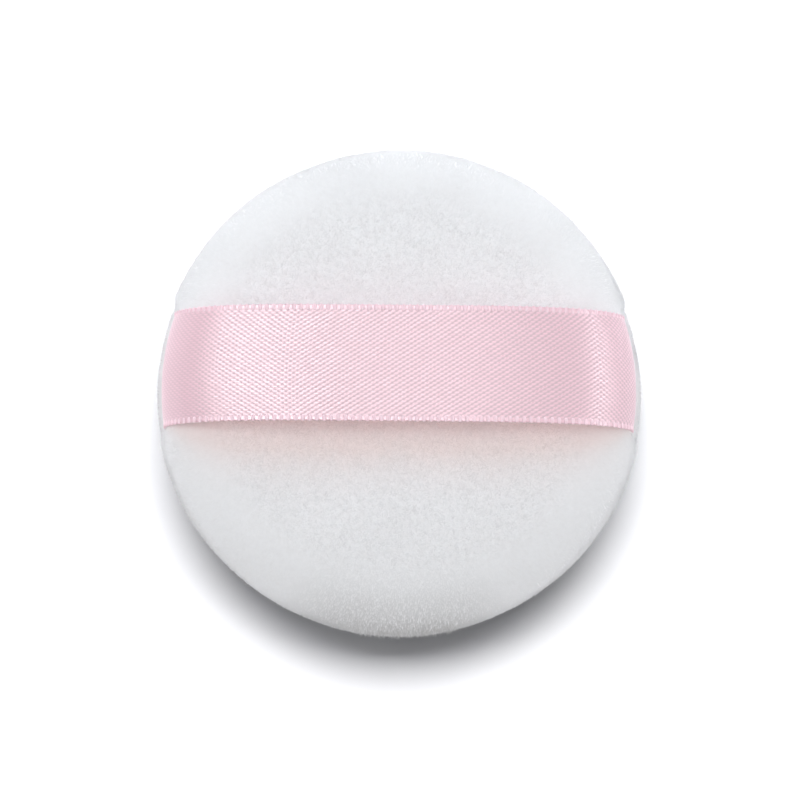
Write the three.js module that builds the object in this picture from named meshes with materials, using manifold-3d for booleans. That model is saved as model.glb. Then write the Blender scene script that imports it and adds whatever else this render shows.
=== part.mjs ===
// Round powder puff: two pile-fabric covers sewn edge to edge over a foam core, with a satin
// ribbon across the back for the fingers. Millimetres, +Z up. The puff lies on its applicator
// face: the origin is the middle of that face, and the ribbon runs along X.

import * as THREE from "three";
import { mergeGeometries, mergeVertices } from "three/addons/utils/BufferGeometryUtils.js";
import Module from "manifold-3d";

const wasm = await Module();
wasm.setup();

// Pad
const padDiameter = 61; // over the pile
const upperLoft = 8.0; // from the seam up to the crown of the back
const lowerLoft = 8.5; // from the seam down to the applicator face, before it is pressed
const restDepth = 0.5; // how deep the pile is pressed flat where the puff lies
const rimFullness = 3.6; // exponent of the section across: 2 is an ellipse, more is squarer
const sideFullness = 2.4; // exponent of the section in height: more is a steeper side

// Pile fabric
const backingThickness = 0.8;
const pileHeight = 1.2;
const seamAllowance = 4.0; // width of the edge that is turned inwards at the seam
const lipRise = 0.4; // from the top of the turned-in edge to the widest point of the rim
const creaseDepth = 0.9; // how far the seam draws the rim in

// Ribbon
const ribbonWidth = 15.0;
const ribbonThickness = 0.3;
const ribbonOffset = 2.6; // the ribbon is sewn a little off the middle, towards +Y
const fingerGap = 4.8; // height of the ribbon's underside over the crown
const ribbonSink = 0.5; // how far the tight ribbon is pressed into the pile at the rim
const archFullness = 4.0; // exponent of the free span's arch across, like rimFullness
const ribbonTurn = 0.5; // radius of the rim that the ribbon turns round as it leaves the seam

// Sewing
const threadDiameter = 0.3;
const stitchLength = 3.5;
const stitchInset = 0.9; // from the inside of the cover's wall to the line of stitches
const needleLoop = 0.6; // between the two legs of a machine stitch in one hole
const threadTail = 1.1; // loose end past the first and the last hole
const turningGap = 28; // stretch of seam left open to turn the puff, then closed by hand

// Clearances
const fitClearance = 0.2; // between fabric, ribbon and thread
const foamClearance = 0.3; // between the foam and what surrounds it
const splitGap = 0.3; // between the ribbon's free span and its sewn ends

// Counts of facets
const turnSegments = 48;
const crownSteps = 9;
const lipSteps = 4;
const archSteps = 20;
const bendSteps = 5;
const widthSteps = 6;
const threadSides = 5;

// Sizes that follow
const padRadius = padDiameter / 2;
const coverThickness = backingThickness + pileHeight;
const innerRadius = padRadius - coverThickness;
const seamHeight = lowerLoft - restDepth;
const plyGap = fitClearance;
const allowanceTop = plyGap / 2 + backingThickness;
const allowanceRadius = innerRadius - seamAllowance;
const lipHeight = allowanceTop + lipRise;
const threadLevel = allowanceTop + fitClearance + threadDiameter / 2;
const grooveHeight = threadLevel + threadDiameter / 2 + foamClearance;
const grooveRadius = allowanceRadius - foamClearance;
const ribbonReach = padRadius - ribbonSink - ribbonThickness / 2;
const ribbonBend = ribbonTurn + fitClearance + ribbonThickness / 2;
const spanFoot = seamHeight + ribbonBend + splitGap;
const spanTop = seamHeight + upperLoft + fingerGap + ribbonThickness / 2;
const stitchRadius = innerRadius - stitchInset;
const stitchCount = Math.round((2 * Math.PI * stitchRadius) / stitchLength);
const stitchPitch = (2 * Math.PI * stitchRadius) / stitchCount;
const closingHalf = Math.round(turningGap / stitchPitch / 2);

const velour = { color: 0xf3f2f4, roughness: 0.95, metalness: 0 };
const foam = { color: 0xf2ead8, roughness: 0.9, metalness: 0 };
const satin = { color: 0xf0cdd8, roughness: 0.4, metalness: 0 };
const cotton = { color: 0xf7f5f4, roughness: 0.8, metalness: 0 };

// A closed geometry as a solid that can be cut
function toSolid(geometry) {
  const bare = geometry.clone();
  bare.deleteAttribute("normal");
  bare.deleteAttribute("uv");
  const welded = mergeVertices(bare);
  return new wasm.Manifold(new wasm.Mesh({
    numProp: 3,
    vertProperties: new Float32Array(welded.attributes.position.array),
    triVerts: new Uint32Array(welded.index.array),
  }));
}

// A cut solid as a geometry again
function toGeometry(solid) {
  const mesh = solid.getMesh();
  const geometry = new THREE.BufferGeometry();
  geometry.setAttribute("position", new THREE.BufferAttribute(mesh.vertProperties, 3));
  geometry.setIndex(new THREE.BufferAttribute(mesh.triVerts, 1));
  geometry.computeVertexNormals();
  return geometry;
}

// A profile of (radius, height over the seam) points turned about Z
function turned(profile) {
  const points = profile.map(([radius, height]) => new THREE.Vector2(radius, seamHeight + height));
  return new THREE.LatheGeometry(points, turnSegments).rotateX(Math.PI / 2);
}

// A crowned section between two heights. It is widest at its foot and closes at its top.
function crown(radius, foot, top, start = foot, end = top) {
  const angleAt = (height) => Math.asin(((height - foot) / (top - foot)) ** (sideFullness / 2));
  const startAngle = angleAt(start);
  const endAngle = angleAt(end);
  const points = [];
  for (let step = 0; step <= crownSteps; step += 1) {
    const angle = startAngle + ((endAngle - startAngle) * step) / crownSteps;
    const narrowing = Math.max(Math.cos(angle), 0) ** (2 / rimFullness);
    points.push([radius * narrowing, foot + (top - foot) * Math.sin(angle) ** (2 / sideFullness)]);
  }
  if (end < top) {
    points.push([0, end]);
  }
  return points;
}

// The rounded lip from the crease of the seam out to the widest point of the rim
function lip() {
  const points = [];
  for (let step = 0; step < lipSteps; step += 1) {
    const angle = (Math.PI / 2) * (step / lipSteps);
    const radius = padRadius - creaseDepth + creaseDepth * Math.sin(angle);
    points.push([radius, lipHeight - (lipHeight - plyGap / 2) * Math.cos(angle)]);
  }
  return points;
}

// One cover's section: the inside, the edge turned in at the seam, the lip and the crown
function coverProfile(loft, pressed) {
  return [
    ...crown(innerRadius, lipHeight, loft - coverThickness).reverse(),
    [innerRadius, allowanceTop],
    [allowanceRadius, allowanceTop],
    [allowanceRadius, plyGap / 2],
    ...lip(),
    ...crown(padRadius, lipHeight, loft, lipHeight, loft - pressed),
  ];
}

// The same section on the other side of the seam
function mirrored(profile) {
  return profile.map(([radius, height]) => [radius, -height]).reverse();
}

// The foam disc, with a groove that clears the turned-in edges and their stitches
function foamProfile() {
  const foamRadius = innerRadius - foamClearance;
  const lining = coverThickness + foamClearance;
  const grooveEdge = Math.max(grooveHeight, lipHeight);
  return [
    ...mirrored(crown(foamRadius, lipHeight, lowerLoft - lining, grooveEdge)),
    [grooveRadius, -grooveHeight],
    [grooveRadius, grooveHeight],
    ...crown(foamRadius, lipHeight, upperLoft - lining, grooveEdge),
  ];
}

// Half of the ribbon's line: from its end in the seam out to the rim and up
function ribbonEndLine(tailRadius) {
  const points = [[tailRadius, seamHeight]];
  for (let step = 0; step <= bendSteps; step += 1) {
    const angle = (Math.PI / 2) * (step / bendSteps);
    points.push([
      ribbonReach - ribbonBend + ribbonBend * Math.sin(angle),
      seamHeight + ribbonBend - ribbonBend * Math.cos(angle),
    ]);
  }
  return points;
}

// Half of the free span: from the rim up to the middle of the arch
function ribbonSpanLine() {
  const points = [];
  for (let step = 0; step <= archSteps; step += 1) {
    const angle = (Math.PI / 2) * (step / archSteps);
    const narrowing = Math.max(Math.cos(angle), 0) ** (2 / archFullness);
    points.push([ribbonReach * narrowing, spanFoot + (spanTop - spanFoot) * Math.sin(angle)]);
  }
  points[archSteps][0] = 0;
  return points;
}

// The ribbon's whole line, from the right end over the arch to the left end, with normals
function ribbonLine(tailRadius) {
  const half = [...ribbonEndLine(tailRadius), ...ribbonSpanLine()];
  const other = half.slice(0, -1).reverse().map(([across, height]) => [-across, height]);
  const line = [...half, ...other];
  return line.map(([across, height], index) => {
    const before = line[Math.max(index - 1, 0)];
    const after = line[Math.min(index + 1, line.length - 1)];
    const run = after[0] - before[0];
    const rise = after[1] - before[1];
    const length = Math.hypot(run, rise);
    return { across, height, normal: [rise / length, -run / length] };
  });
}

// A band along a stretch of that line. Its ends follow the round rim across the width.
function band(line, width, inside, outside) {
  const positions = [];
  for (const { across, height, normal } of line) {
    for (let step = 0; step <= widthSteps; step += 1) {
      const y = ribbonOffset + width * (step / widthSteps - 0.5);
      const rimShare = Math.sqrt(1 - (y / ribbonReach) ** 2);
      for (const offset of [-inside, outside]) {
        positions.push((across + normal[0] * offset) * rimShare, y, height + normal[1] * offset);
      }
    }
  }
  const vertex = (i, j, layer) => (i * (widthSteps + 1) + j) * 2 + layer;
  const triangles = [];
  const quad = (a, b, c, d) => triangles.push(a, b, c, a, c, d);
  const last = line.length - 1;
  for (let i = 0; i < last; i += 1) {
    for (let j = 0; j < widthSteps; j += 1) {
      quad(vertex(i, j, 1), vertex(i, j + 1, 1), vertex(i + 1, j + 1, 1), vertex(i + 1, j, 1));
      quad(vertex(i, j, 0), vertex(i + 1, j, 0), vertex(i + 1, j + 1, 0), vertex(i, j + 1, 0));
    }
    quad(vertex(i, 0, 0), vertex(i, 0, 1), vertex(i + 1, 0, 1), vertex(i + 1, 0, 0));
    quad(
      vertex(i, widthSteps, 0),
      vertex(i + 1, widthSteps, 0),
      vertex(i + 1, widthSteps, 1),
      vertex(i, widthSteps, 1),
    );
  }
  for (let j = 0; j < widthSteps; j += 1) {
    quad(vertex(0, j, 0), vertex(0, j + 1, 0), vertex(0, j + 1, 1), vertex(0, j, 1));
    quad(vertex(last, j, 0), vertex(last, j, 1), vertex(last, j + 1, 1), vertex(last, j + 1, 0));
  }
  return closedGeometry(positions, triangles);
}

function closedGeometry(positions, triangles) {
  const geometry = new THREE.BufferGeometry();
  geometry.setAttribute("position", new THREE.Float32BufferAttribute(positions, 3));
  geometry.setIndex(triangles);
  geometry.computeVertexNormals();
  return geometry;
}

// The holes that the stitches go through, one box each, all round the seam
function stitchHoles() {
  const boxes = [];
  for (let hole = 0; hole < stitchCount; hole += 1) {
    const box = new THREE.BoxGeometry(
      needleLoop + threadDiameter + 2 * fitClearance,
      threadDiameter + 2 * fitClearance,
      2 * (allowanceTop + fitClearance),
    );
    box.translate(0, -stitchRadius, seamHeight);
    box.rotateZ((hole * stitchPitch) / stitchRadius);
    boxes.push(box);
  }
  return mergeGeometries(boxes);
}

// A thread along a line of (distance along the seam, height over it), with mitred corners
function thread(line) {
  const positions = [];
  line.forEach(([along, height], index) => {
    const before = line[Math.max(index - 1, 0)];
    const after = line[Math.min(index + 1, line.length - 1)];
    const into = unit(index === 0 ? after : [along, height], index === 0 ? line[0] : before);
    const out = unit(index === line.length - 1 ? [along, height] : after, [along, height], into);
    const bisector = [into[0] + out[0], into[1] + out[1]];
    const mitre = 2 / (bisector[0] ** 2 + bisector[1] ** 2);
    for (let side = 0; side < threadSides; side += 1) {
      const angle = (2 * Math.PI * side) / threadSides;
      const outward = (threadDiameter / 2) * Math.cos(angle);
      const sideways = (threadDiameter / 2) * Math.sin(angle) * mitre;
      const turn = (along - bisector[1] * sideways) / stitchRadius;
      const radius = stitchRadius + outward;
      positions.push(
        radius * Math.sin(turn),
        -radius * Math.cos(turn),
        seamHeight + height + bisector[0] * sideways,
      );
    }
  });
  const triangles = [];
  const vertex = (i, side) => i * threadSides + (side % threadSides);
  for (let i = 0; i < line.length - 1; i += 1) {
    for (let side = 0; side < threadSides; side += 1) {
      const corners = [vertex(i, side), vertex(i + 1, side), vertex(i + 1, side + 1), vertex(i, side + 1)];
      triangles.push(corners[0], corners[1], corners[2], corners[0], corners[2], corners[3]);
    }
  }
  for (let side = 1; side < threadSides - 1; side += 1) {
    const last = line.length - 1;
    triangles.push(vertex(0, 0), vertex(0, side), vertex(0, side + 1));
    triangles.push(vertex(last, 0), vertex(last, side + 1), vertex(last, side));
  }
  return closedGeometry(positions, triangles);
}

// The direction from one point of a line to the next, or the given one where they are the same
function unit(to, from, same = [1, 0]) {
  const length = Math.hypot(to[0] - from[0], to[1] - from[1]);
  return length > 0 ? [(to[0] - from[0]) / length, (to[1] - from[1]) / length] : same;
}

// One thread of the machine seam: it runs on its own side and dips to the middle at each hole
function seamThread(side) {
  const dip = (threadDiameter + fitClearance) / 2;
  const first = closingHalf + 1;
  const last = stitchCount - closingHalf - 1;
  const line = [[first * stitchPitch - needleLoop / 2 - threadTail, side * threadLevel]];
  for (let hole = first; hole <= last; hole += 1) {
    const middle = hole * stitchPitch;
    line.push(
      [middle - needleLoop / 2, side * threadLevel],
      [middle - needleLoop / 2, side * dip],
      [middle + needleLoop / 2, side * dip],
      [middle + needleLoop / 2, side * threadLevel],
    );
  }
  line.push([last * stitchPitch + needleLoop / 2 + threadTail, side * threadLevel]);
  return thread(line);
}

// The hand stitches over the turning gap: one thread that passes from side to side
function closingThread() {
  let side = 1;
  const line = [[-closingHalf * stitchPitch - threadTail, side * threadLevel]];
  for (let hole = -closingHalf; hole <= closingHalf; hole += 1) {
    line.push([hole * stitchPitch, side * threadLevel], [hole * stitchPitch, -side * threadLevel]);
    side = -side;
  }
  line.push([closingHalf * stitchPitch + threadTail, side * threadLevel]);
  return thread(line);
}

const puff = new THREE.Group();

function add(name, geometry, finish) {
  const mesh = new THREE.Mesh(geometry, new THREE.MeshStandardMaterial(finish));
  mesh.name = name;
  puff.add(mesh);
}

const holes = toSolid(stitchHoles());
const ribbonHalf = ribbonThickness / 2;
const endCount = bendSteps + 2;
const line = ribbonLine(allowanceRadius);

function ribbonPiece(stretch) {
  return band(stretch, ribbonWidth, ribbonHalf, ribbonHalf);
}

// The tight ribbon lies in a bed that it presses into the pile, and its ends in pockets in the seam
const room = ribbonHalf + fitClearance;
const roomWidth = ribbonWidth + 2 * fitClearance;
const roomLine = ribbonLine(grooveRadius);
const bed = toSolid(band(roomLine, roomWidth, room, coverThickness));
const rightPocket = toSolid(band(roomLine.slice(0, endCount), roomWidth, room, room));
const leftPocket = toSolid(band(roomLine.slice(-endCount), roomWidth, room, room));

const upper = toSolid(turned(coverProfile(upperLoft, 0)));
const lower = toSolid(turned(mirrored(coverProfile(lowerLoft, restDepth))));
add("upper_cover", toGeometry(upper.subtract(bed).subtract(holes)), velour);
add("lower_cover", toGeometry(lower.subtract(rightPocket).subtract(leftPocket).subtract(holes)), velour);
add("foam_core", turned(foamProfile()), foam);

add("ribbon_band", ribbonPiece(line.slice(endCount, -endCount)), satin);
const rightEnd = toSolid(ribbonPiece(line.slice(0, endCount)));
const leftEnd = toSolid(ribbonPiece(line.slice(-endCount)));
add("ribbon_right_end", toGeometry(rightEnd.subtract(holes)), satin);
add("ribbon_left_end", toGeometry(leftEnd.subtract(holes)), satin);

add("seam_needle_thread", seamThread(1), cotton);
add("seam_bobbin_thread", seamThread(-1), cotton);
add("closing_thread", closingThread(), cotton);

export default puff;
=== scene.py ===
"""A round powder puff: velour covers with a standing pile, a satin ribbon with woven edges, foam and thread.

The CAD frame gives the places. The puff lies on its applicator face with the ribbon on top.
"""

import math

import bpy
import numpy as np
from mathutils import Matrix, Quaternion, Vector


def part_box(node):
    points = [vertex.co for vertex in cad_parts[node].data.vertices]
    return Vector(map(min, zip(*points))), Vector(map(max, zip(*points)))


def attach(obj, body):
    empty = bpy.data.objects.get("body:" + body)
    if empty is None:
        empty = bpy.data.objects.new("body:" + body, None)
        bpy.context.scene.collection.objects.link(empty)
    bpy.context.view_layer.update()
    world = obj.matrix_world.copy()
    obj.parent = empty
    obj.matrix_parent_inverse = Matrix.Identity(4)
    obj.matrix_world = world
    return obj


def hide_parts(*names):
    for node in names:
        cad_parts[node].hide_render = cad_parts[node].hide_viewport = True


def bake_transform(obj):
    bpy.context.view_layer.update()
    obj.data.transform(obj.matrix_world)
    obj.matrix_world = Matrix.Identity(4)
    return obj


bl_info = {
    "name": "Powder Puff",
    "version": (1, 0, 0),
    "blender": (4, 5, 0),
    "location": "3D View > Sidebar > Powder Puff",
    "description": "Dresses the frame of a round powder puff in velour, satin ribbon, foam and thread",
    "category": "Add Mesh",
}

MM = 0.001
GOLDEN_ANGLE = math.pi * (3 - math.sqrt(5))
# How far the loops of edge yarn stand out from the ribbon's cloth
EDGE_LOOP = 0.1 * MM

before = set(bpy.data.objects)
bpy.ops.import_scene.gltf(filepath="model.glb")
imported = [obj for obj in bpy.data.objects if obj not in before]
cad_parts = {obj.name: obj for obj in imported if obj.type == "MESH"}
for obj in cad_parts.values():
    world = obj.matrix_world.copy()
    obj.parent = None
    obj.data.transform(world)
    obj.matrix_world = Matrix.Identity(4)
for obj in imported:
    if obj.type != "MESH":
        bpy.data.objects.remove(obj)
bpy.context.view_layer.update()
BACK_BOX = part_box("upper_cover")
RIBBON_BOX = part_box("ribbon_band")


def linear(hex_colour):
    """Linear RGBA of an sRGB hex colour."""
    channels = [int(hex_colour[i:i + 2], 16) / 255 for i in (0, 2, 4)]
    return [c / 12.92 if c <= 0.04045 else ((c + 0.055) / 1.055) ** 2.4 for c in channels] + [1.0]


def length_property(name, description, default):
    """A size in metres that the panel shows as a length."""
    return bpy.props.FloatProperty(
        name=name, description=description, default=default, min=0, unit="LENGTH", precision=5)


def colour_property(name, description, hex_colour):
    """A colour that the panel shows as a swatch."""
    return bpy.props.FloatVectorProperty(
        name=name, description=description, default=linear(hex_colour), size=4, min=0, max=1, subtype="COLOR")


class PadSettings(bpy.types.PropertyGroup):
    """The form of the two velour covers, over the tips of the pile."""

    radius: length_property("Radius", "Half the width over the pile", (BACK_BOX[1].y - BACK_BOX[0].y) / 2)
    crown: length_property("Crown", "Height of the back over the table", BACK_BOX[1].z)
    seam: length_property("Seam", "Height of the seam over the table", 8.0 * MM)
    face_loft: length_property(
        "Face loft", "Depth of the applicator face before it is pressed flat", 8.5 * MM)
    overhang: length_property("Overhang", "How far the back stands out over the applicator face", 0.25 * MM)
    rim_fullness: bpy.props.FloatProperty(
        name="Rim fullness", description="How square the rim is in section", default=3.6, min=2)
    side_fullness: bpy.props.FloatProperty(
        name="Side fullness", description="How soon the side turns into the crown", default=2.4, min=2)
    lip: length_property("Lip", "Rise of the rolled edge over the seam", 1.3 * MM)
    crease: length_property("Crease", "Depth of the crease at the seam", 0.9 * MM)
    ply_gap: length_property("Ply gap", "Gap between the covers in the seam", 0.2 * MM)
    allowance: length_property("Allowance", "Width of cloth turned in at the seam", 4.0 * MM)
    backing: length_property("Backing", "Thickness of the knitted ground under the pile", 0.8 * MM)
    unevenness: length_property("Unevenness", "Height of the soft lumps in the filling", 0.22 * MM)
    lump: length_property("Lump", "Width of one soft lump", 9.0 * MM)


class PileSettings(bpy.types.PropertyGroup):
    """The standing pile of the velour."""

    depth: length_property("Depth", "How far the ground lies under the tips", 0.1 * MM)
    length: length_property("Length", "Length of one strand", 0.5 * MM)
    width: length_property("Width", "Thickness of one strand at its root", 0.09 * MM)
    upright: bpy.props.FloatProperty(
        name="Upright", description="How steeply the strands stand", default=0.45, min=0)
    tuft: length_property("Tuft", "Width of the tufts that the strands gather into", 0.44 * MM)
    strands: bpy.props.IntProperty(
        name="Strands", description="Strands in one layer of pile", default=48000, min=100)
    back_layers: bpy.props.IntProperty(
        name="Back layers", description="Layers of pile on the back", default=4, min=1)
    face_layers: bpy.props.IntProperty(
        name="Face layers", description="Layers of pile on the applicator face", default=3, min=1)
    shading_layers: bpy.props.IntProperty(
        name="Shading layers",
        description="Layers that cast shade. The others let the light through, as thin white fibres do",
        default=0, min=0)
    seed: bpy.props.IntProperty(name="Seed", description="Start of the random draws", default=7)


class RibbonSettings(bpy.types.PropertyGroup):
    """The satin ribbon across the back."""

    width: length_property(
        "Width", "Width of the cloth between the ends of its edge loops",
        RIBBON_BOX[1].y - RIBBON_BOX[0].y - 5 * EDGE_LOOP)
    middle: bpy.props.FloatProperty(
        name="Middle", description="How far the ribbon is sewn off the middle of the pad",
        default=(RIBBON_BOX[1].y + RIBBON_BOX[0].y) / 2 - EDGE_LOOP, unit="LENGTH", precision=5)
    thickness: length_property("Thickness", "Thickness of the woven satin", 0.22 * MM)
    reach: length_property("Reach", "Half the distance between the ends of the arch", 29.75 * MM)
    shift: bpy.props.FloatProperty(
        name="Shift", description="How far the arch lies off the middle along the ribbon",
        default=-0.05 * MM, unit="LENGTH", precision=5)
    foot: length_property("Foot", "Height at which the free arch starts", 9.15 * MM)
    top: length_property("Top", "Height of the middle of the arch", 20.95 * MM)
    fullness: bpy.props.FloatProperty(
        name="Fullness", description="How square the arch is in side view", default=4.0, min=2)
    bend: length_property("Bend", "Radius at which each end turns into the seam", 0.85 * MM)
    tail: length_property("Tail", "Distance from the middle to the cut ends inside the seam", 24.5 * MM)
    pick: length_property("Pick", "Distance between neighbouring rows of floats", 0.29 * MM)
    float_length: length_property("Float", "Length of one float and its tie", 0.95 * MM)
    relief: length_property("Relief", "Height of the floats over their ties", 0.024 * MM)
    selvedge: length_property("Selvedge", "Width of the woven edge", 0.62 * MM)
    picot: length_property("Picot", "Distance between the loops of the woven edge", 0.9 * MM)


class FinishSettings(bpy.types.PropertyGroup):
    """The colours of the puff."""

    pile_light: colour_property("Pile, light", "White of the pile tips", "F3F2F3")
    # Painted shade: pile_dark is the colour the pile's painted shade runs to, at the roots, where tufts part,
    # in the front fringe and on the front rim
    pile_dark: colour_property("Pile, dark", "White of the pile where it is parted", "B6B4B3")
    # Painted shade: ground is the darker colour painted into the pits of the knitted ground
    ground: colour_property("Ground", "White of the knitted ground", "E4E2E2")
    satin: colour_property("Satin", "Pink of the satin floats", "EDC2CD")
    # Painted shade in part: satin_tie is darker partly because it stands in for the shade between the floats
    satin_tie: colour_property("Satin ties", "Pink where the floats are tied down", "C8A6AF")
    selvedge: colour_property("Selvedge", "Pink of the woven edge", "F8E4EB")
    foam: colour_property("Foam", "Cream of the foam", "F0E6CC")
    # Painted shade: foam_cell_shade is the darker cream painted into the sunken parts of the foam's cells
    foam_cell_shade: colour_property("Foam cells", "Cream inside the cells of the foam", "D9C9A4")
    thread: colour_property("Thread", "White of the sewing thread", "F2F0EE")
    # Painted shade: thread_shade stands in for the shade between the plies of the thread
    thread_shade: colour_property("Thread, dark", "White between the plies of the thread", "D8D4D0")


class StageSettings(bpy.types.PropertyGroup):
    """The camera and the light."""

    lens: bpy.props.FloatProperty(
        name="Lens", description="Focal length of the camera", default=400, min=1, unit="CAMERA")
    distance: length_property("Distance", "From the camera to the puff", 1.12)
    elevation: bpy.props.FloatProperty(
        name="Elevation", description="Height of the camera as an angle", default=math.radians(84),
        subtype="ANGLE")
    roll: bpy.props.FloatProperty(
        name="Roll", description="Turn of the camera about its own axis", default=math.radians(0.5),
        subtype="ANGLE")
    aim: bpy.props.FloatVectorProperty(
        name="Aim", description="Point in the middle of the picture", default=(0.1 * MM, -0.8 * MM, 8 * MM),
        subtype="XYZ_LENGTH")
    world: bpy.props.FloatProperty(
        name="Surround", description="Brightness of the white room", default=0.23, min=0)
    world_fall: bpy.props.FloatProperty(
        name="Surround fall", description="How much brighter the room is behind the puff than before it",
        default=0.12, min=0)


class PuffSettings(bpy.types.PropertyGroup):
    """Everything a user would change."""

    pad: bpy.props.PointerProperty(type=PadSettings)
    pile: bpy.props.PointerProperty(type=PileSettings)
    ribbon: bpy.props.PointerProperty(type=RibbonSettings)
    finish: bpy.props.PointerProperty(type=FinishSettings)
    stage: bpy.props.PointerProperty(type=StageSettings)


# Shared tools for numbers and meshes


def unit(vectors):
    """Each row scaled to a length of one."""
    return vectors / np.maximum(np.linalg.norm(vectors, axis=1, keepdims=True), 1e-12)


def ease(value, start, end):
    """0 before start, 1 after end and a smooth rise between them."""
    share = np.clip((value - start) / (end - start), 0, 1)
    return share * share * (3 - 2 * share)


def cell_random(cells, seed):
    """One number from 0 to 1 for each row of whole numbers, always the same for the same row and seed."""
    cells = cells.astype(np.int64)
    mixed = cells[:, 0] * 73856093 ^ cells[:, 1] * 19349663 ^ cells[:, 2] * 83492791 ^ seed * 2654435761
    mixed = (mixed ^ (mixed >> 13)) * 1274126177
    mixed = (mixed ^ (mixed >> 15)) * 668265263
    return ((mixed ^ (mixed >> 16)) & 0xFFFFFF) / 0xFFFFFF


def soft_noise(points, width, seed):
    """Smooth noise from -1 to 1 in lumps of about the given width."""
    scaled = points / width
    low = np.floor(scaled)
    share = scaled - low
    share = share * share * (3 - 2 * share)
    total = np.zeros(len(points))
    for corner in np.ndindex(2, 2, 2):
        weight = np.prod(np.where(np.array(corner) == 1, share, 1 - share), axis=1)
        total += weight * cell_random(low + corner, seed)
    return 2 * total - 1


def nearest_tuft(points, width, seed):
    """The middle of the nearest of many scattered tufts to each point, and that tuft's random number."""
    cells = np.floor(points / width)
    best = np.full(len(points), np.inf)
    middles = np.zeros_like(points)
    shades = np.zeros(len(points))
    for offset in np.ndindex(3, 3, 3):
        cell = cells + np.array(offset) - 1
        spread = np.stack([cell_random(cell, seed + axis) for axis in range(3)], axis=1)
        middle = (cell + spread) * width
        gap = np.linalg.norm(points - middle, axis=1)
        nearer = gap < best
        best[nearer] = gap[nearer]
        middles[nearer] = middle[nearer]
        shades[nearer] = cell_random(cell, seed + 3)[nearer]
    return middles, shades


def evenly(line, count):
    """A line's points spread evenly along its length."""
    steps = np.linalg.norm(np.diff(line, axis=0), axis=1)
    along = np.concatenate([[0], np.cumsum(steps)])
    wanted = np.linspace(0, along[-1], count)
    return np.stack([np.interp(wanted, along, line[:, axis]) for axis in range(line.shape[1])], axis=1)


def make_piece(name, points, faces, material):
    """A smooth mesh object from points and a list of face arrays, each with its own number of corners."""
    mesh = bpy.data.meshes.new(name)
    mesh.vertices.add(len(points))
    mesh.vertices.foreach_set("co", np.asarray(points, np.float32).ravel())
    corners = np.concatenate([part.ravel() for part in faces]).astype(np.int32)
    sizes = np.concatenate([np.full(len(part), part.shape[1]) for part in faces])
    starts = np.concatenate([[0], np.cumsum(sizes)[:-1]]).astype(np.int32)
    mesh.loops.add(len(corners))
    mesh.loops.foreach_set("vertex_index", corners)
    mesh.polygons.add(len(starts))
    mesh.polygons.foreach_set("loop_start", starts)
    mesh.update(calc_edges=True)
    mesh.validate()
    mesh.shade_smooth()
    mesh.materials.append(material)
    piece = bpy.data.objects.new(name, mesh)
    bpy.context.scene.collection.objects.link(piece)
    return piece


def add_uv(piece, name, coordinates):
    """A UV map with one coordinate for each vertex."""
    layer = piece.data.uv_layers.new(name=name)
    corners = np.empty(len(piece.data.loops), np.int32)
    piece.data.loops.foreach_get("vertex_index", corners)
    layer.data.foreach_set("uv", coordinates[corners].astype(np.float32).ravel())


def grid_faces(rows, columns):
    """Quads of a grid of points that is stored row by row."""
    index = np.arange(rows * columns).reshape(rows, columns)
    return np.stack([index[:-1, :-1], index[:-1, 1:], index[1:, 1:], index[1:, :-1]], axis=-1).reshape(-1, 4)


def grid_rim(rows, columns):
    """The outer points of a grid in order, against the turn of its quads."""
    index = np.arange(rows * columns).reshape(rows, columns)
    return np.concatenate([index[0, :-1], index[:-1, -1], index[-1, :0:-1], index[:0:-1, 0]])


def disc_grid(rings):
    """Even points of a disc as share of the radius and angle, in a square grid drawn out to a circle."""
    steps = np.linspace(-1, 1, 2 * rings + 1)
    x, y = (part.ravel() for part in np.meshgrid(steps, steps))
    share = np.maximum(abs(x), abs(y))
    wide = abs(x) >= abs(y)
    base = np.where(wide, x, y)
    ratio = np.where(wide, y, x) / np.where(base == 0, 1, base)
    angle = np.where(wide, ratio, 2 - ratio) * math.pi / 4
    return share, angle + np.where(base < 0, math.pi, 0)


def disc_shell(name, over, under, rings, flip, material):
    """A closed piece between two discs of points in the same square grid, joined at their rims."""
    across = 2 * rings + 1
    quads = grid_faces(across, across)
    rim = grid_rim(across, across)
    after = np.roll(rim, -1)
    count = len(over)
    walls = np.stack([rim, rim + count, after + count, after], axis=1)
    faces = np.concatenate([quads, quads[:, ::-1] + count, walls])
    if flip:
        faces = faces[:, ::-1]
    return make_piece(name, np.concatenate([over, under]), [faces], material)


# Materials


def add_node(tree, kind, settings=None, values=None, links=None):
    """Adds one node with its settings, its input values and its links from other nodes' outputs."""
    node = tree.nodes.new(kind)
    for name, value in (settings or {}).items():
        setattr(node, name, value)
    for name, value in (values or {}).items():
        node.inputs[name].default_value = value
    for name, output in (links or {}).items():
        tree.links.new(output, node.inputs[name])
    return node


def new_material(name):
    """An empty node material and its tree."""
    material = bpy.data.materials.new(name)
    material.use_nodes = True
    material.node_tree.nodes.clear()
    return material, material.node_tree


def finish_material(tree, values, links):
    """Closes a material with its surface shader."""
    shader = add_node(tree, "ShaderNodeBsdfPrincipled", values=values, links=links)
    add_node(tree, "ShaderNodeOutputMaterial", links={"Surface": shader.outputs["BSDF"]})


def velour_pile_material(finish):
    """Cut polyester pile: matt and soft, with random tone and painted shade in its colour: each fibre darker
    at its root, where tufts part, in the front fringe and on the front rim.
    """
    material, tree = new_material("Polyester velour pile")
    fibre = add_node(tree, "ShaderNodeAttribute", {"attribute_name": "fibre_tone_and_painted_shade"}).outputs["Fac"]
    shade = add_node(
        tree, "ShaderNodeMix", {"data_type": "RGBA"}, {6: finish.pile_dark, 7: finish.pile_light}, {0: fibre})
    finish_material(
        tree,
        {"Roughness": 0.9, "Sheen Weight": 0.2, "Sheen Roughness": 0.5, "Specular IOR Level": 0.2},
        {"Base Color": shade.outputs[2]})
    return material


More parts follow.
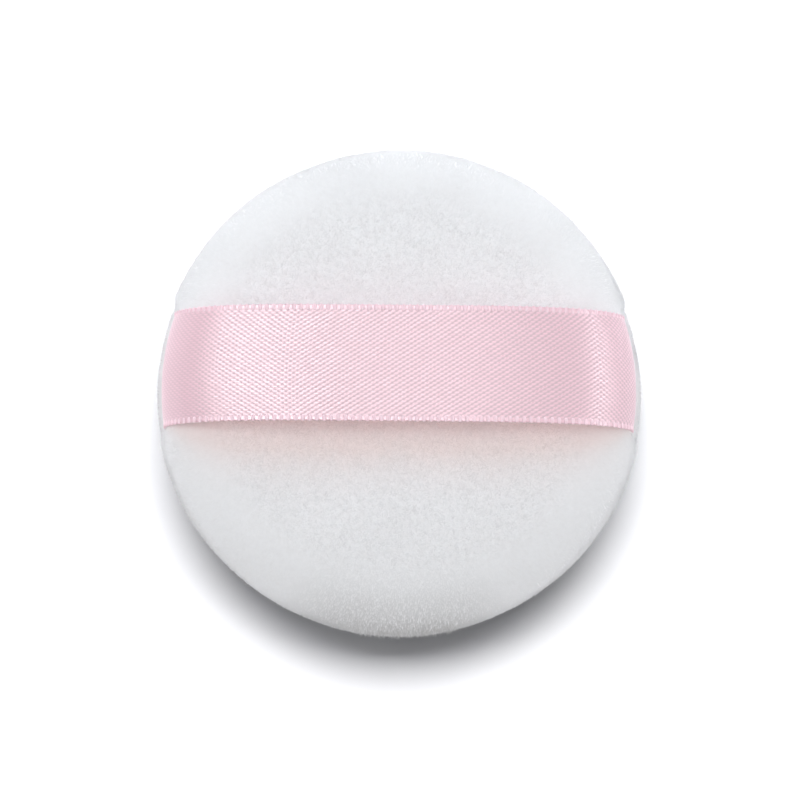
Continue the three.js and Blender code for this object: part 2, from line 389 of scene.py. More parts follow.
def velour_ground_material(finish):
    """Weft-knitted ground of the velour: duller than the pile, pitted where the roots of the tufts go in,
    with painted shade: darker in the low parts of its bump.
    """
    material, tree = new_material("Knitted velour ground")
    stitch = 0.7 * MM
    place = add_node(tree, "ShaderNodeTexCoord").outputs["Object"]
    pits = add_node(
        tree, "ShaderNodeTexNoise", values={"Scale": 1 / stitch, "Detail": 3.0}, links={"Vector": place})
    shade = add_node(
        tree, "ShaderNodeMix", {"data_type": "RGBA"}, {6: finish.ground, 7: finish.pile_light},
        {0: pits.outputs["Fac"]})
    relief = add_node(
        tree, "ShaderNodeBump", values={"Strength": 0.3, "Distance": 0.1 * MM},
        links={"Height": pits.outputs["Fac"]})
    finish_material(
        tree, {"Roughness": 0.95, "Specular IOR Level": 0.2},
        {"Base Color": shade.outputs[2], "Normal": relief.outputs["Normal"]})
    return material


def satin_material(finish):
    """Woven polyester satin: bright floats with a soft lustre between small dull ties. The ties' darker pink
    is partly their own colour and partly painted shade; the darker grooves between rows of floats are painted
    shade.
    """
    material, tree = new_material("Woven polyester satin")
    mask = add_node(tree, "ShaderNodeAttribute", {"attribute_name": "weave_mask_with_painted_shade"}).outputs["Fac"]
    shade = add_node(
        tree, "ShaderNodeMix", {"data_type": "RGBA"}, {6: finish.satin_tie, 7: finish.satin}, {0: mask})
    lustre = add_node(
        tree, "ShaderNodeMapRange", values={"To Min": 0.0, "To Max": 0.04}, links={"Value": mask})
    polish = add_node(
        tree, "ShaderNodeMapRange", values={"To Min": 0.7, "To Max": 0.26}, links={"Value": mask})
    finish_material(
        tree, {"IOR": 1.6, "Specular IOR Level": 1.0, "Sheen Weight": 0.05, "Sheen Roughness": 0.4},
        {"Base Color": shade.outputs[2], "Metallic": lustre.outputs[0], "Roughness": polish.outputs[0]})
    return material


def selvedge_material(finish):
    """Twisted edge yarn of the ribbon: paler and duller than the floats, with a fine twist."""
    material, tree = new_material("Ribbon selvedge yarn")
    yarn = 0.3 * MM
    place = add_node(tree, "ShaderNodeTexCoord").outputs["Object"]
    twist = add_node(
        tree, "ShaderNodeTexNoise", values={"Scale": 1 / yarn, "Detail": 2.0}, links={"Vector": place})
    shade = add_node(
        tree, "ShaderNodeMix", {"data_type": "RGBA"}, {6: finish.satin, 7: finish.selvedge},
        {0: twist.outputs["Fac"]})
    finish_material(
        tree, {"Roughness": 0.75, "Sheen Weight": 0.1, "Specular IOR Level": 0.3},
        {"Base Color": shade.outputs[2]})
    return material


def foam_material(finish):
    """Open-cell polyurethane foam: matt cream, pitted with small round cells, with painted shade: a darker
    cream in their sunken parts.
    """
    material, tree = new_material("Open-cell polyurethane foam")
    cell = 0.8 * MM
    place = add_node(tree, "ShaderNodeTexCoord").outputs["Object"]
    cells = add_node(tree, "ShaderNodeTexVoronoi", values={"Scale": 1 / cell}, links={"Vector": place})
    shade = add_node(
        tree, "ShaderNodeMix", {"data_type": "RGBA"}, {6: finish.foam, 7: finish.foam_cell_shade},
        {0: cells.outputs["Distance"]})
    relief = add_node(
        tree, "ShaderNodeBump", {"invert": True}, {"Strength": 0.8, "Distance": 0.3 * MM},
        {"Height": cells.outputs["Distance"]})
    finish_material(
        tree, {"Roughness": 0.95, "Specular IOR Level": 0.2},
        {"Base Color": shade.outputs[2], "Normal": relief.outputs["Normal"]})
    return material


def thread_material(finish):
    """Spun polyester sewing thread: matt white, with a darker white mixed in by noise as painted shade
    between its twisted plies.
    """
    material, tree = new_material("Spun polyester sewing thread")
    ply = 0.25 * MM
    place = add_node(tree, "ShaderNodeTexCoord").outputs["Object"]
    twist = add_node(
        tree, "ShaderNodeTexNoise", values={"Scale": 1 / ply, "Detail": 1.0}, links={"Vector": place})
    shade = add_node(
        tree, "ShaderNodeMix", {"data_type": "RGBA"}, {6: finish.thread_shade, 7: finish.thread},
        {0: twist.outputs["Fac"]})
    finish_material(
        tree, {"Roughness": 0.7, "Sheen Weight": 0.2, "Specular IOR Level": 0.3},
        {"Base Color": shade.outputs[2]})
    return material


# The form of the covers

# How far the dent under the ribbon's ends runs out past its edges
DENT_RUNOUT = 2.2 * MM


def cover_line(pad, side, inset):
    """Radius and rise over the seam of a cover, from its middle to the crease, pulled in by inset."""
    loft = pad.crown - pad.seam if side > 0 else pad.face_loft
    radius = pad.radius - inset - (0 if side > 0 else pad.overhang)
    turn = np.linspace(math.pi / 2, 0, 400)
    dome_radius = radius * np.maximum(np.cos(turn), 0) ** (2 / pad.rim_fullness)
    dome_rise = pad.lip + (loft - inset - pad.lip) * np.sin(turn) ** (2 / pad.side_fullness)
    fold = np.linspace(0, math.pi / 2, 24)[1:]
    lip_radius = radius - pad.crease * (1 - np.cos(fold))
    lip_rise = pad.lip - (pad.lip - pad.ply_gap / 2) * np.sin(fold)
    dome = np.stack([dome_radius, dome_rise], axis=1)
    rolled_edge = np.stack([lip_radius, lip_rise], axis=1)
    return evenly(np.concatenate([dome, rolled_edge]), 600)


def turned(radius, height, angle):
    """Points of a round form from radius, height and angle."""
    return np.stack([radius * np.cos(angle), radius * np.sin(angle), height], axis=1)


def ribbon_gap(ribbon, points):
    """How far each point may go outward along the ribbon before it meets the ribbon's inner side."""
    height = np.clip((points[:, 2] - ribbon.foot) / (ribbon.top - ribbon.foot), 0, 1)
    sink = np.clip((ribbon.foot - 0.3 * MM - points[:, 2]) / ribbon.bend, 0, 1)
    reach = ribbon.reach * np.sqrt(1 - height ** 2) ** (2 / ribbon.fullness)
    reach -= ribbon.bend * (1 - np.sqrt(1 - sink ** 2))
    reach *= np.sqrt(np.maximum(1 - (points[:, 1] / ribbon.reach) ** 2, 0))
    return reach - ribbon.thickness - np.abs(points[:, 0] - ribbon.shift)


def on_cover(pad, ribbon, side, inset, share, angle):
    """Points and outward normals of a cover at shares of the way from its middle to the crease.

    Where the ribbon is drawn into the seam, the back lies behind it.
    """
    line = cover_line(pad, side, inset)
    slope = np.gradient(line, axis=0)
    stations = np.linspace(0, 1, len(line))
    radius = np.interp(share, stations, line[:, 0])
    rise = np.interp(share, stations, line[:, 1])
    outward = -np.interp(share, stations, slope[:, 1])
    upward = np.interp(share, stations, slope[:, 0])
    points = turned(radius, pad.seam + side * rise, angle)
    normals = unit(turned(outward, side * upward, angle))
    lumps = soft_noise(points, pad.lump, 11) + 0.5 * soft_noise(points, pad.lump / 2.3, 12)
    points += normals * (pad.unevenness * lumps * ease(share, 1.0, 0.85))[:, None]
    if side > 0:
        dent = np.maximum(inset - ribbon_gap(ribbon, points), 0)
        off_middle = np.abs(points[:, 1] - ribbon.middle)
        dent *= ease(off_middle, ribbon.width / 2 + DENT_RUNOUT, ribbon.width / 2)
        points[:, 0] -= np.sign(points[:, 0]) * dent
    return points, normals


def press_flat(points, height):
    """Keeps points above the table, where the face is pressed flat."""
    points[:, 2] = np.maximum(points[:, 2], height)
    return points


def velour_cover(pad, pile, ribbon, side, name, material):
    """One cover as a closed shell: the ground under the pile, its turned-in edge and its inside."""
    rings = 100
    share, angle = disc_grid(rings)
    dome_share = 0.86
    inside_share = 0.93
    outside, _ = on_cover(pad, ribbon, side, pile.depth, np.minimum(share / dome_share, 1), angle)
    crease = cover_line(pad, side, pile.depth)[-1]
    edge_radius = crease[0] - pad.allowance + pad.crease
    turned_in = np.clip((share - dome_share) / (1 - dome_share), 0, 1)
    flange = turned(crease[0] + (edge_radius - crease[0]) * turned_in,
                    np.full(len(share), pad.seam + side * crease[1]), angle)
    outside = np.where((share > dome_share)[:, None], flange, outside)
    inside, _ = on_cover(
        pad, ribbon, side, pile.depth + pad.backing, np.minimum(share / dome_share, 1) * inside_share, angle)
    inner_flange = flange + np.array([0, 0, side * pad.backing])
    inside = np.where((share > dome_share)[:, None], inner_flange, inside)
    press_flat(outside, pile.depth * 0.4)
    press_flat(inside, pile.depth * 0.4 + pad.backing)
    return disc_shell(name, outside, inside, rings, side < 0, material)


# The pile

# Where the pile changes, as shares of the way from a cover's middle to the seam: start and end
CALM_RIM = (0.5, 0.78)
SMOOTH_RIM = (0.6, 0.76)
COMBED_RIM = (0.6, 0.85)
PAINTED_SHADE_RIM = (0.6, 0.9)
RUFFLED_RIM = (0.82, 0.95)
BRIGHT_RIM = (0.78, 0.92)
# Where the pile at the front is painted in shade and ruffled, as cosines of the angle from the front: start
# and end
PAINTED_SHADE_FRONT = (0.86, 1.0)
RUFFLED_FRONT = (0.945, 0.995)
# How much of the pile's texture the smooth rim keeps
RIM_TEXTURE = 0.2


def pile_strands(pad, pile, ribbon, side, layers, seed):
    """Roots, tips, facings, brightness and tilts of all the strands on one cover; the brightness is random
    tone with painted shade.
    """
    nap_width = 6 * MM
    ruffle_width = 3 * MM
    draw = np.random.default_rng(seed)
    count = pile.strands * layers
    line = cover_line(pad, side, pile.depth)
    ring_area = np.concatenate([[0], np.cumsum((line[1:, 0] + line[:-1, 0]) / 2)])
    order = (np.arange(count) + 0.5) / count
    share = np.interp(order, ring_area / ring_area[-1], np.linspace(0, 1, len(line)))
    share = np.clip(share + draw.normal(0, 0.004, count), 0, 1)
    angle = np.arange(count) * GOLDEN_ANGLE + draw.normal(0, 0.01, count)
    roots, normals = on_cover(pad, ribbon, side, pile.depth, share, angle)
    middles, shades = nearest_tuft(roots, pile.tuft, seed)
    gather = (middles - roots) / pile.tuft
    nap = np.stack([soft_noise(roots, nap_width, seed + 20 + axis) for axis in range(3)], axis=1)
    swirl = np.stack([soft_noise(middles, pile.tuft / 2, seed + 30 + axis) for axis in range(3)], axis=1)
    stray = draw.normal(0, 1, (count, 3))
    outward = turned(np.ones(count), np.zeros(count), angle)
    rough = (1 - 0.65 * ease(share, *CALM_RIM))[:, None]
    combed = 0.5 * ease(share, *COMBED_RIM)[:, None] * outward
    wander = soft_noise(roots, ruffle_width, seed + 40)
    towards_front = np.cos(angle + math.pi / 2)
    ruffle = ease(towards_front + 0.012 * wander, *RUFFLED_FRONT) * (side > 0)
    ruffle *= ease(share + 0.02 * wander, *RUFFLED_RIM)
    combed += ruffle[:, None] * (0.6 * outward - np.array([0, 0, 0.5]))
    flow = 0.25 * nap + rough * (0.8 * swirl + 0.4 * gather) + 0.25 * stray + combed
    flow -= normals * np.sum(flow * normals, axis=1, keepdims=True)
    lean = unit(pile.upright * normals + flow)
    length = pile.length * (0.8 + 0.2 * shades + 0.25 * draw.random(count) + 1.1 * ruffle * shades)
    tips = roots + lean * length[:, None]
    under_ribbon = np.abs(tips[:, 1] - ribbon.middle) < ribbon.width / 2 + 0.1 * MM
    reach = np.where(under_ribbon & (side > 0), ribbon_gap(ribbon, tips), 1.0)
    length = np.where(reach < 0, np.maximum(length + reach, 0.15 * length), length)
    tips = roots + lean * length[:, None]
    press_flat(roots, pile.depth * 0.3)
    press_flat(tips, 0.05 * MM)
    parting = np.linalg.norm(gather, axis=1)
    textured = 1 - (1 - RIM_TEXTURE) * ease(share, *SMOOTH_RIM)
    # Random tone, and painted shade where the tufts part
    fall = 0.03 + 0.2 * ease(parting, 0.25, 0.7) + 0.08 * shades + 0.1 * draw.random(count)
    # Painted shade in the gaps of the ruffled fringe at the front
    fall = textured * fall + ruffle * (0.45 + 0.6 * ease(parting, 0.2, 0.6))
    # Painted shade: the rim at the front, which faces away from the light, is painted darker
    front_rim_shade = ease(towards_front, *PAINTED_SHADE_FRONT) * ease(share, *PAINTED_SHADE_RIM) * (side > 0)
    fall += 0.55 * front_rim_shade * (1 - ruffle)
    # The rim's fibres take in light from above, as thin white fibres do
    lifted = 0.6 * ease(share, *BRIGHT_RIM)
    facings = unit(normals + lifted[:, None] * np.array([0, 0, 1]))
    return roots, tips, facings, 1 - fall, 0.62 * (textured - RIM_TEXTURE)


def strand_piece(name, roots, tips, facings, shades, tilts, pile, radius, material):
    """Closed three-sided tapered strands as one piece, each with a side outward, shaded with the cloth."""
    count = len(roots)
    axis = unit(tips - roots)
    across = unit(np.cross(facings, axis))
    up = np.cross(axis, across)
    corners = []
    for degrees in (30, 150, 270):
        turn = math.radians(degrees)
        corners.append(roots + pile.width / 2 * (math.cos(turn) * across + math.sin(turn) * up))
    points = np.stack(corners + [tips], axis=1).reshape(-1, 3)
    first = np.arange(count)[:, None] * 4
    faces = np.concatenate([first + np.array(face) for face in ((0, 1, 3), (1, 2, 3), (2, 0, 3), (2, 1, 0))])
    piece = make_piece(name, points, [faces], material)
    shading = unit(facings + tilts[:, None] * up)
    piece.data.normals_split_custom_set_from_vertices(np.repeat(shading, 4, axis=0))
    add_uv(piece, "OFBake", points[:, :2] / (2.2 * radius) + 0.5)
    fibre = piece.data.attributes.new("fibre_tone_and_painted_shade", "FLOAT", "POINT")
    # Painted shade: each strand's root corners are painted darker than its tip
    along = np.array([0.87, 0.87, 0.87, 1.0])
    fibre.data.foreach_set("value", (shades[:, None] * along).astype(np.float32).ravel())
    return piece


# The ribbon


def ribbon_line(ribbon, count):
    """Distance from the middle and height of the ribbon's line, from one cut end to the other."""
    turn = np.linspace(math.pi / 2, 0, 500)
    span = np.stack([ribbon.reach * np.maximum(np.cos(turn), 0) ** (2 / ribbon.fullness),
                     ribbon.foot + (ribbon.top - ribbon.foot) * np.sin(turn)], axis=1)
    quarter = np.linspace(0, math.pi / 2, 40)
    bend = np.stack([ribbon.reach - ribbon.bend * (1 - np.cos(quarter)),
                     ribbon.foot - 0.3 * MM - ribbon.bend * np.sin(quarter)], axis=1)
    tail = np.array([[ribbon.tail, bend[-1, 1]]])
    half = np.concatenate([span, bend, tail])
    whole = np.concatenate([half[::-1] * [-1, 1], half[1:]])
    return evenly(whole, count)


def ribbon_surface(ribbon, columns, rows):
    """Points, normals and flat coordinates of the ribbon's middle, row by row across its width."""
    line = ribbon_line(ribbon, columns)
    slope = np.gradient(line, axis=0)
    length = np.sum(np.linalg.norm(np.diff(line, axis=0), axis=1))
    across = np.linspace(-ribbon.width / 2, ribbon.width / 2, rows)
    y = np.repeat(ribbon.middle + across, columns)
    rim = np.sqrt(1 - (y / ribbon.reach) ** 2)
    points = np.stack([np.tile(line[:, 0], rows) * rim + ribbon.shift, y, np.tile(line[:, 1], rows)], axis=1)
    slope_x, slope_z = np.tile(slope, (rows, 1)).T
    normals = unit(np.stack([-slope_z, np.zeros(len(y)), slope_x], axis=1))
    flat = np.stack([np.tile(np.linspace(0, length, columns), rows), np.repeat(across, columns)], axis=1)
    return points, normals, flat


def weave(ribbon, flat):
    """Floats (1) and ties (0) at flat coordinates, and the roundness of each row of floats.

    The ties of neighbouring rows are half a float apart and lean, so they line up in slanting lines. These
    slant one way over the middle and the other way over the two ends.
    """
    across = (flat[:, 1] + ribbon.width / 2) / ribbon.pick + 1e-6
    row = np.floor(across)
    within = across - row
    wander = soft_noise(np.stack([flat[:, 0], flat[:, 1], np.zeros(len(flat))], axis=1), 2.2 * MM, 31)
    from_middle = flat[:, 0] - flat[:, 0].max() / 2
    at_left_end = ease(-from_middle, 11 * MM, 16 * MM)
    at_right_end = ease(from_middle, 24.8 * MM, 26.4 * MM)
    slant = 0.45 * (at_left_end + at_right_end - 0.5)
    phase = flat[:, 0] / ribbon.float_length + 0.5 * row + slant * (within - 0.5) + 0.06 * wander
    along = 2 * np.abs(phase - np.floor(phase) - 0.5)
    lustre = cell_random(np.stack([row, np.floor(phase), 0 * row], axis=1), 32)
    floats = ease(along, 0.82, 0.32) * (0.75 + 0.25 * lustre)
    # Painted light: the weave's painted contrast is evened out over the left end, where the light grazes the
    # ribbon
    evened_left_end = 0.5 * ease(-from_middle, 25 * MM, 27 * MM)
    floats += evened_left_end * (0.7 - floats)
    return floats, ease(np.sin(math.pi * within), 0, 0.6)


def satin_ribbon(ribbon, material):
    """The ribbon as a closed sheet, with its floats and ties in relief on the upper side."""
    # Three rows of points to each pick, and one point of the lower side to ten of the upper
    columns, rows, skip = 561, 151, 10
    points, normals, flat = ribbon_surface(ribbon, columns, rows)
    floats, roundness = weave(ribbon, flat)
    inner = ease(np.abs(flat[:, 1]), ribbon.width / 2 - 0.3 * MM, ribbon.width / 2 - ribbon.selvedge)
    height = ribbon.thickness / 2 + ribbon.relief * inner * (floats * roundness - 0.5)
    upper = points + normals * height[:, None]
    lower_grid = np.arange(columns * rows).reshape(rows, columns)[::skip, ::skip]
    lower_rows, lower_columns = lower_grid.shape
    lower = (points - normals * ribbon.thickness / 2)[lower_grid.ravel()]
    count = len(upper)
    top = grid_faces(rows, columns)
    bottom = grid_faces(lower_rows, lower_columns)[:, ::-1] + count
    fine = grid_rim(rows, columns)
    coarse = grid_rim(lower_rows, lower_columns) + count
    fine_steps = np.append(fine, fine[0])
    walls = np.array([
        np.concatenate([fine_steps[i * skip:(i + 1) * skip + 1][::-1], [coarse[i], np.roll(coarse, -1)[i]]])
        for i in range(len(coarse))])
    piece = make_piece("satin_ribbon", np.concatenate([upper, lower]), [top, bottom, walls], material)
    mask = piece.data.attributes.new("weave_mask_with_painted_shade", "FLOAT", "POINT")
    # Painted shade: the ties and the grooves between rows of floats are painted darker
    shade = 0.75 + inner * (floats * (0.6 + 0.4 * roundness) - 0.75)
    shade = np.concatenate([shade, np.ones(len(lower))])
    mask.data.foreach_set("value", shade.astype(np.float32))
    length = flat[:, 0].max()
    return piece, length


def selvedge_loops(ribbon, edge, name, material):
    """The loops of edge yarn along one side of the ribbon, as small rounded bars across the edge."""
    line = ribbon_line(ribbon, 2000)
    slope = unit(np.gradient(line, axis=0))
    along = np.concatenate([[0], np.cumsum(np.linalg.norm(np.diff(line, axis=0), axis=1))])
    hidden = ribbon.reach - ribbon.tail
    stations = np.arange(hidden, along[-1] - hidden, ribbon.picot)
    y_edge = ribbon.middle + edge * (ribbon.width / 2 - ribbon.selvedge / 2)
    rim = math.sqrt(1 - (y_edge / ribbon.reach) ** 2)
    x, z, forward_x, forward_z = (
        np.interp(stations, along, column) for column in (line[:, 0], line[:, 1], slope[:, 0], slope[:, 1]))
    flat = np.zeros(len(stations))
    centres = np.stack([x * rim + ribbon.shift, flat + y_edge, z], axis=1)
    forward = np.stack([forward_x, flat, forward_z], axis=1)
    normal = np.stack([-forward_z, flat, forward_x], axis=1)
    centres += normal * ribbon.thickness / 2
    around, rings = 8, 7
    half_width = 0.26 * MM
    height = 0.06 * MM
    turn, climb = np.meshgrid(
        np.linspace(0, 2 * math.pi, around, endpoint=False), np.linspace(-1, 1, rings) * math.pi * 0.47)
    turn, climb = turn.ravel(), climb.ravel()
    shape = np.stack([np.cos(turn) * np.cos(climb) ** 0.5 * half_width,
                      np.sin(climb) * (ribbon.selvedge / 2 + EDGE_LOOP),
                      np.sin(turn) * np.cos(climb) ** 0.5 * height], axis=1)
    points = (centres[:, None, :] + shape[None, :, 0:1] * forward[:, None, :]
              + shape[None, :, 1:2] * np.array([0, 1.0, 0]) + shape[None, :, 2:3] * normal[:, None, :])
    index = np.arange(around * rings).reshape(rings, around)
    ahead = np.roll(index, -1, axis=1)
    sides = np.stack([index[:-1], index[1:], ahead[1:], ahead[:-1]], axis=-1).reshape(-1, 4)
    caps = np.array([index[0], index[-1, ::-1]])
    first = np.arange(len(stations)) * around * rings
    return make_piece(
        name, points.reshape(-1, 3),
        [(first[:, None, None] + part[None]).reshape(-1, part.shape[1]) for part in (sides, caps)], material)


def bend_with_lift(piece):
    """Bakes the piece's placement into its mesh, so that it stays where it was built."""
    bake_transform(piece)


# The operators


class PUFF_OT_velour_covers(bpy.types.Operator):
    """Build the back and the applicator face under their pile"""

    bl_idname = "puff.velour_covers"
    bl_label = "Velour covers"

    def execute(self, context):
        settings = context.scene.puff
        material = velour_ground_material(settings.finish)
        for name, side, node in (("velour_back", 1, "upper_cover"), ("velour_face", -1, "lower_cover")):
            piece = velour_cover(settings.pad, settings.pile, settings.ribbon, side, name, material)
            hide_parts(node)
            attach(piece, "pad")
        return {"FINISHED"}


class PUFF_OT_velour_pile(bpy.types.Operator):
    """Stand the pile on both covers"""

    bl_idname = "puff.velour_pile"
    bl_label = "Velour pile"

    def execute(self, context):
        settings = context.scene.puff
        pad, pile = settings.pad, settings.pile
        material = velour_pile_material(settings.finish)
        for name, side, layers in (("pile_back", 1, pile.back_layers), ("pile_face", -1, pile.face_layers)):
            strands = pile_strands(pad, pile, settings.ribbon, side, layers, pile.seed + side)
            for layer in range(layers):
                part = [values[layer::layers] for values in strands]
                piece = strand_piece(f"{name}_{layer + 1}", *part, pile, pad.radius, material)
                piece.visible_shadow = layer < pile.shading_layers
                piece.visible_diffuse = layer < pile.shading_layers
                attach(piece, "pad")
        return {"FINISHED"}


class PUFF_OT_satin_ribbon(bpy.types.Operator):
    """Build the ribbon and the loops of its woven edges"""

    bl_idname = "puff.satin_ribbon"
    bl_label = "Satin ribbon"

    def execute(self, context):
        settings = context.scene.puff
        ribbon = settings.ribbon
        piece, length = satin_ribbon(ribbon, satin_material(settings.finish))
        edge_material = selvedge_material(settings.finish)
        edges = [selvedge_loops(ribbon, edge, name, edge_material)
                 for name, edge in (("selvedge_near", -1), ("selvedge_far", 1))]
        for part in [piece, *edges]:
            bend_with_lift(part)
        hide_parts("ribbon_band", "ribbon_left_end", "ribbon_right_end")
        return {"FINISHED"}


class PUFF_OT_foam_filling(bpy.types.Operator):
    """Build the foam disc inside the covers"""

    bl_idname = "puff.foam_filling"
    bl_label = "Foam filling"

    def execute(self, context):
        settings = context.scene.puff
        pad, pile = settings.pad, settings.pile
        rings = 48
        clearance = 0.5 * MM
        seam_share = 0.9
        share, angle = disc_grid(rings)
        inset = pile.depth + pad.backing + clearance
        upper, _ = on_cover(pad, settings.ribbon, 1, inset, share * seam_share, angle)
        lower, _ = on_cover(pad, settings.ribbon, -1, inset, share * seam_share, angle)
        press_flat(lower, inset)
        piece = disc_shell("foam_filling", upper, lower, rings, False, foam_material(settings.finish))
        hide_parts("foam_core")
        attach(piece, "pad")
        return {"FINISHED"}


class PUFF_OT_seam_threads(bpy.types.Operator):
    """Finish the sewing threads of the frame"""

    bl_idname = "puff.seam_threads"
    bl_label = "Seam threads"

    def execute(self, context):
        material = thread_material(context.scene.puff.finish)
        for node in ("seam_needle_thread", "seam_bobbin_thread", "closing_thread"):
            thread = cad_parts[node]
            thread.data.materials.clear()
            thread.data.materials.append(material)
        return {"FINISHED"}


class PUFF_OT_stage(bpy.types.Operator):
    """Set up the floor, the light and the camera"""

    bl_idname = "puff.stage"
    bl_label = "Stage"

    def execute(self, context):
        stage = context.scene.puff.stage
        scene = context.scene
        scene.view_settings.view_transform = "Standard"
        build_world(scene, stage)
        light_puff(build_floor())
        place_camera(scene, stage)
        return {"FINISHED"}


def light_puff(floor):
    """Soft lamps round the puff. Some give only gloss, and most only plain light."""
    white = (1.0, 1.0, 1.0)
    cool = (0.93, 0.97, 1.0)
    # Light over the far edge, in two halves: the ribbon stops the blue one and lets the pink one through
    key = add_softbox("key_light", (0, 0.66, 0.66), 0.7, 0.5, 2.95, (0.32, 0.8, 1.0))
    through = add_softbox("through_light", (0, 0.668, 0.668), 0.7, 0.5, 3.45, (1.0, 0.68, 0.59))
    through.light_linking.blocker_collection = let_through("satin_ribbon", "selvedge_near", "selvedge_far")
    # The broad light from the left models the pad, and a weaker one from the right fills its shade
    soft = add_softbox("left_softbox", (-0.45, 0.12, 0.8), 0.34, 1.02, 2.8, white)
    add_softbox("right_fill", (0.62, -0.1, 0.7), 0.8, 0.8, 2.2, white)
    # The highlight on the left of the satin, the sparkle of its floats and the shine of its right end
    for name, place, width, height, power in (
            ("left_gloss", (-0.44, 0.117, 0.78), 0.34, 1.02, 7.4),
            ("top_gloss", (0.1, 0.1, 0.95), 0.7, 0.4, 1.55),
            ("right_gloss", (0.85, 0.1, 0.26), 0.5, 0.3, 3.0)):
        gloss = add_softbox(name, place, width, height, power, white)
        gloss.visible_diffuse = False
    # Low lamps keep the rim white
    washes = [
        add_softbox(name, place, 0.5, 0.14, power, cool) for name, place, power in (
            ("left_wash", (-0.84, -0.3, 0.07), 1.4),
            ("right_wash", (0.84, -0.3, 0.07), 1.4),
            ("front_wash", (0, -0.9, 0.07), 1.3))]
    for lamp in (key, through, soft, *washes):
        lamp.visible_glossy = False
    # This lamp lights the paper alone, and gives the puff's shadow on it
    floor_light = add_softbox("floor_light", (0, 0.42, 0.9), 0.9, 0.55, 44.0, white)
    only_floor = bpy.data.collections.new("lit_floor")
    only_floor.objects.link(floor)
    floor_light.light_linking.receiver_collection = only_floor


def let_through(*names):
    """A collection of pieces that cast no shadow in the light of a lamp that it is given to."""
    pieces = bpy.data.collections.new("let_through")
    for name in names:
        pieces.objects.link(bpy.data.objects[name])
    for entry in pieces.collection_objects:
        entry.light_linking.link_state = "EXCLUDE"
    return pieces


def place_camera(scene, stage):
    """A long lens almost straight over the puff."""
    camera_data = bpy.data.cameras.new("camera")
    camera_data.lens = stage.lens
    camera_data.clip_start = 0.01
    camera = bpy.data.objects.new("camera", camera_data)
    scene.collection.objects.link(camera)
    away = Vector((0, -math.cos(stage.elevation), math.sin(stage.elevation)))
    camera.location = Vector(stage.aim) + away * stage.distance
    turn = (-away).to_track_quat("-Z", "Y") @ Quaternion((0, 0, 1), stage.roll)
    camera.rotation_euler = turn.to_euler()
    scene.camera = camera


def add_softbox(name, place, width, height, power, colour):
    """A rectangular soft lamp that faces the puff."""
    data = bpy.data.lights.new(name, "AREA")
    data.shape = "RECTANGLE"
    data.size = width
    data.size_y = height
    data.energy = power
    data.color = colour
    lamp = bpy.data.objects.new(name, data)
    lamp.location = place
    lamp.rotation_euler = (-Vector(place)).to_track_quat("-Z", "Y").to_euler()
    lamp.visible_camera = False
    bpy.context.scene.collection.objects.link(lamp)
    return lamp


def seen_directly(tree):
    """1 for rays from the camera, which show the surroundings as plain white."""
    return add_node(tree, "ShaderNodeLightPath").outputs["Is Camera Ray"]


def build_floor():
    """A pale sheet that keeps the shadow near the puff and runs out to white."""
    material, tree = new_material("White backdrop paper")
    paper_end = 50 * MM
    white_start = 120 * MM
    place = add_node(tree, "ShaderNodeTexCoord").outputs["Object"]
    away = add_node(tree, "ShaderNodeVectorMath", {"operation": "LENGTH"}, links={0: place})
    fade = add_node(tree, "ShaderNodeMapRange", {"interpolation_type": "SMOOTHSTEP"},
                    {"From Min": paper_end, "From Max": white_start}, {"Value": away.outputs["Value"]})
    share = add_node(tree, "ShaderNodeMath", {"operation": "MULTIPLY"},
                     links={0: fade.outputs[0], 1: seen_directly(tree)})
    paper = add_node(tree, "ShaderNodeBsdfDiffuse", values={"Color": linear("98989A")})
    white = add_node(tree, "ShaderNodeEmission", values={"Color": (1, 1, 1, 1), "Strength": 1.0})
    mixed = add_node(tree, "ShaderNodeMixShader",
                     links={0: share.outputs[0], 1: paper.outputs[0], 2: white.outputs[0]})
    add_node(tree, "ShaderNodeOutputMaterial", links={"Surface": mixed.outputs[0]})
    half = 2.0
    corners = np.array([[-half, -half, 0], [half, -half, 0], [half, half, 0], [-half, half, 0]])
    floor = make_piece("floor", corners, [np.array([[0, 1, 2, 3]])], material)
    return floor


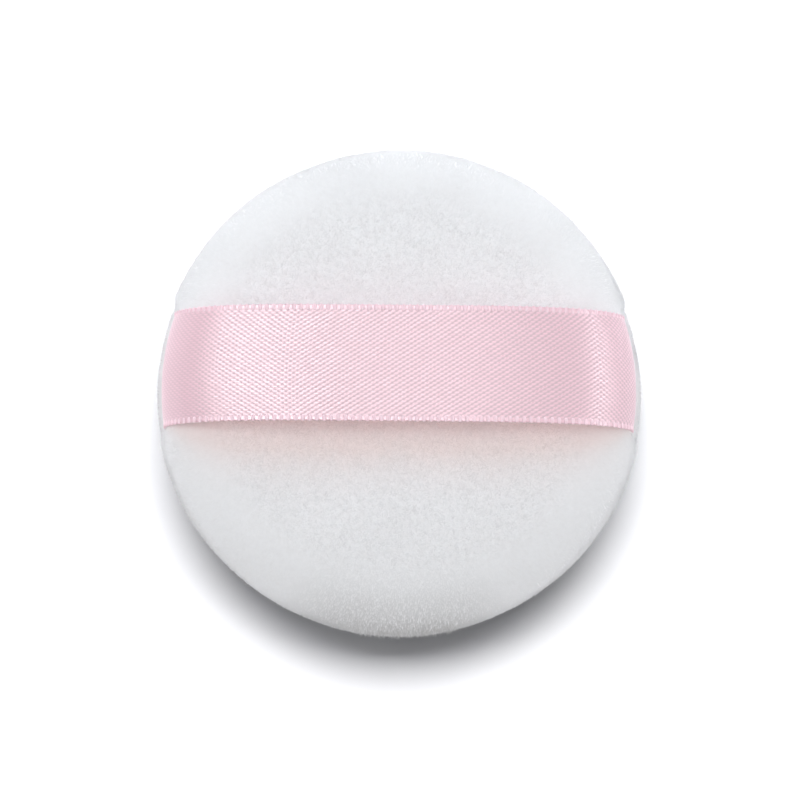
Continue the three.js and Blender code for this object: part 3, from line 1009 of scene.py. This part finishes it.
def build_world(scene, stage):
    """A white room: pale grey light all round, and plain white where it is seen."""
    world = bpy.data.worlds.new("white_room")
    world.use_nodes = True
    tree = world.node_tree
    tree.nodes.clear()
    direction = add_node(tree, "ShaderNodeTexCoord").outputs["Generated"]
    parts = add_node(tree, "ShaderNodeSeparateXYZ", links={0: direction}).outputs
    tint = add_node(
        tree, "ShaderNodeMix", {"data_type": "RGBA"}, {6: (0.92, 0.965, 1.0, 1), 7: (1.0, 0.985, 0.975, 1)},
        {0: parts["Z"]})
    strength = add_node(
        tree, "ShaderNodeMapRange",
        values={"From Min": -1,
                "To Min": stage.world - stage.world_fall,
                "To Max": stage.world + stage.world_fall},
        links={"Value": parts["Y"]})
    dim = add_node(
        tree, "ShaderNodeBackground", links={"Color": tint.outputs[2], "Strength": strength.outputs[0]})
    white = add_node(tree, "ShaderNodeBackground", values={"Color": (1, 1, 1, 1), "Strength": 1.0})
    mixed = add_node(tree, "ShaderNodeMixShader",
                     links={0: seen_directly(tree), 1: dim.outputs[0], 2: white.outputs[0]})
    add_node(tree, "ShaderNodeOutputWorld", links={"Surface": mixed.outputs[0]})
    scene.world = world


class PUFF_PT_panel(bpy.types.Panel):
    """The puff's pieces in the sidebar"""

    bl_idname = "PUFF_PT_panel"
    bl_label = "Powder Puff"
    bl_space_type = "VIEW_3D"
    bl_region_type = "UI"
    bl_category = "Powder Puff"

    def draw(self, context):
        for operator in OPERATORS:
            self.layout.operator(operator.bl_idname)
        for group in ("pad", "pile", "ribbon", "finish", "stage"):
            box = self.layout.box()
            box.label(text=group.capitalize())
            settings = getattr(context.scene.puff, group)
            for name in settings.__annotations__:
                box.prop(settings, name)


OPERATORS = (
    PUFF_OT_velour_covers,
    PUFF_OT_velour_pile,
    PUFF_OT_satin_ribbon,
    PUFF_OT_foam_filling,
    PUFF_OT_seam_threads,
    PUFF_OT_stage,
)
CLASSES = (
    PadSettings,
    PileSettings,
    RibbonSettings,
    FinishSettings,
    StageSettings,
    PuffSettings,
    *OPERATORS,
    PUFF_PT_panel,
)


def register():
    for cls in CLASSES:
        bpy.utils.register_class(cls)
    bpy.types.Scene.puff = bpy.props.PointerProperty(type=PuffSettings)


def unregister():
    del bpy.types.Scene.puff
    for cls in reversed(CLASSES):
        bpy.utils.unregister_class(cls)


def main():
    register()
    bpy.ops.puff.velour_covers()
    bpy.ops.puff.velour_pile()
    bpy.ops.puff.satin_ribbon()
    bpy.ops.puff.foam_filling()
    bpy.ops.puff.seam_threads()
    bpy.ops.puff.stage()


if __name__ == "__main__":
    main()
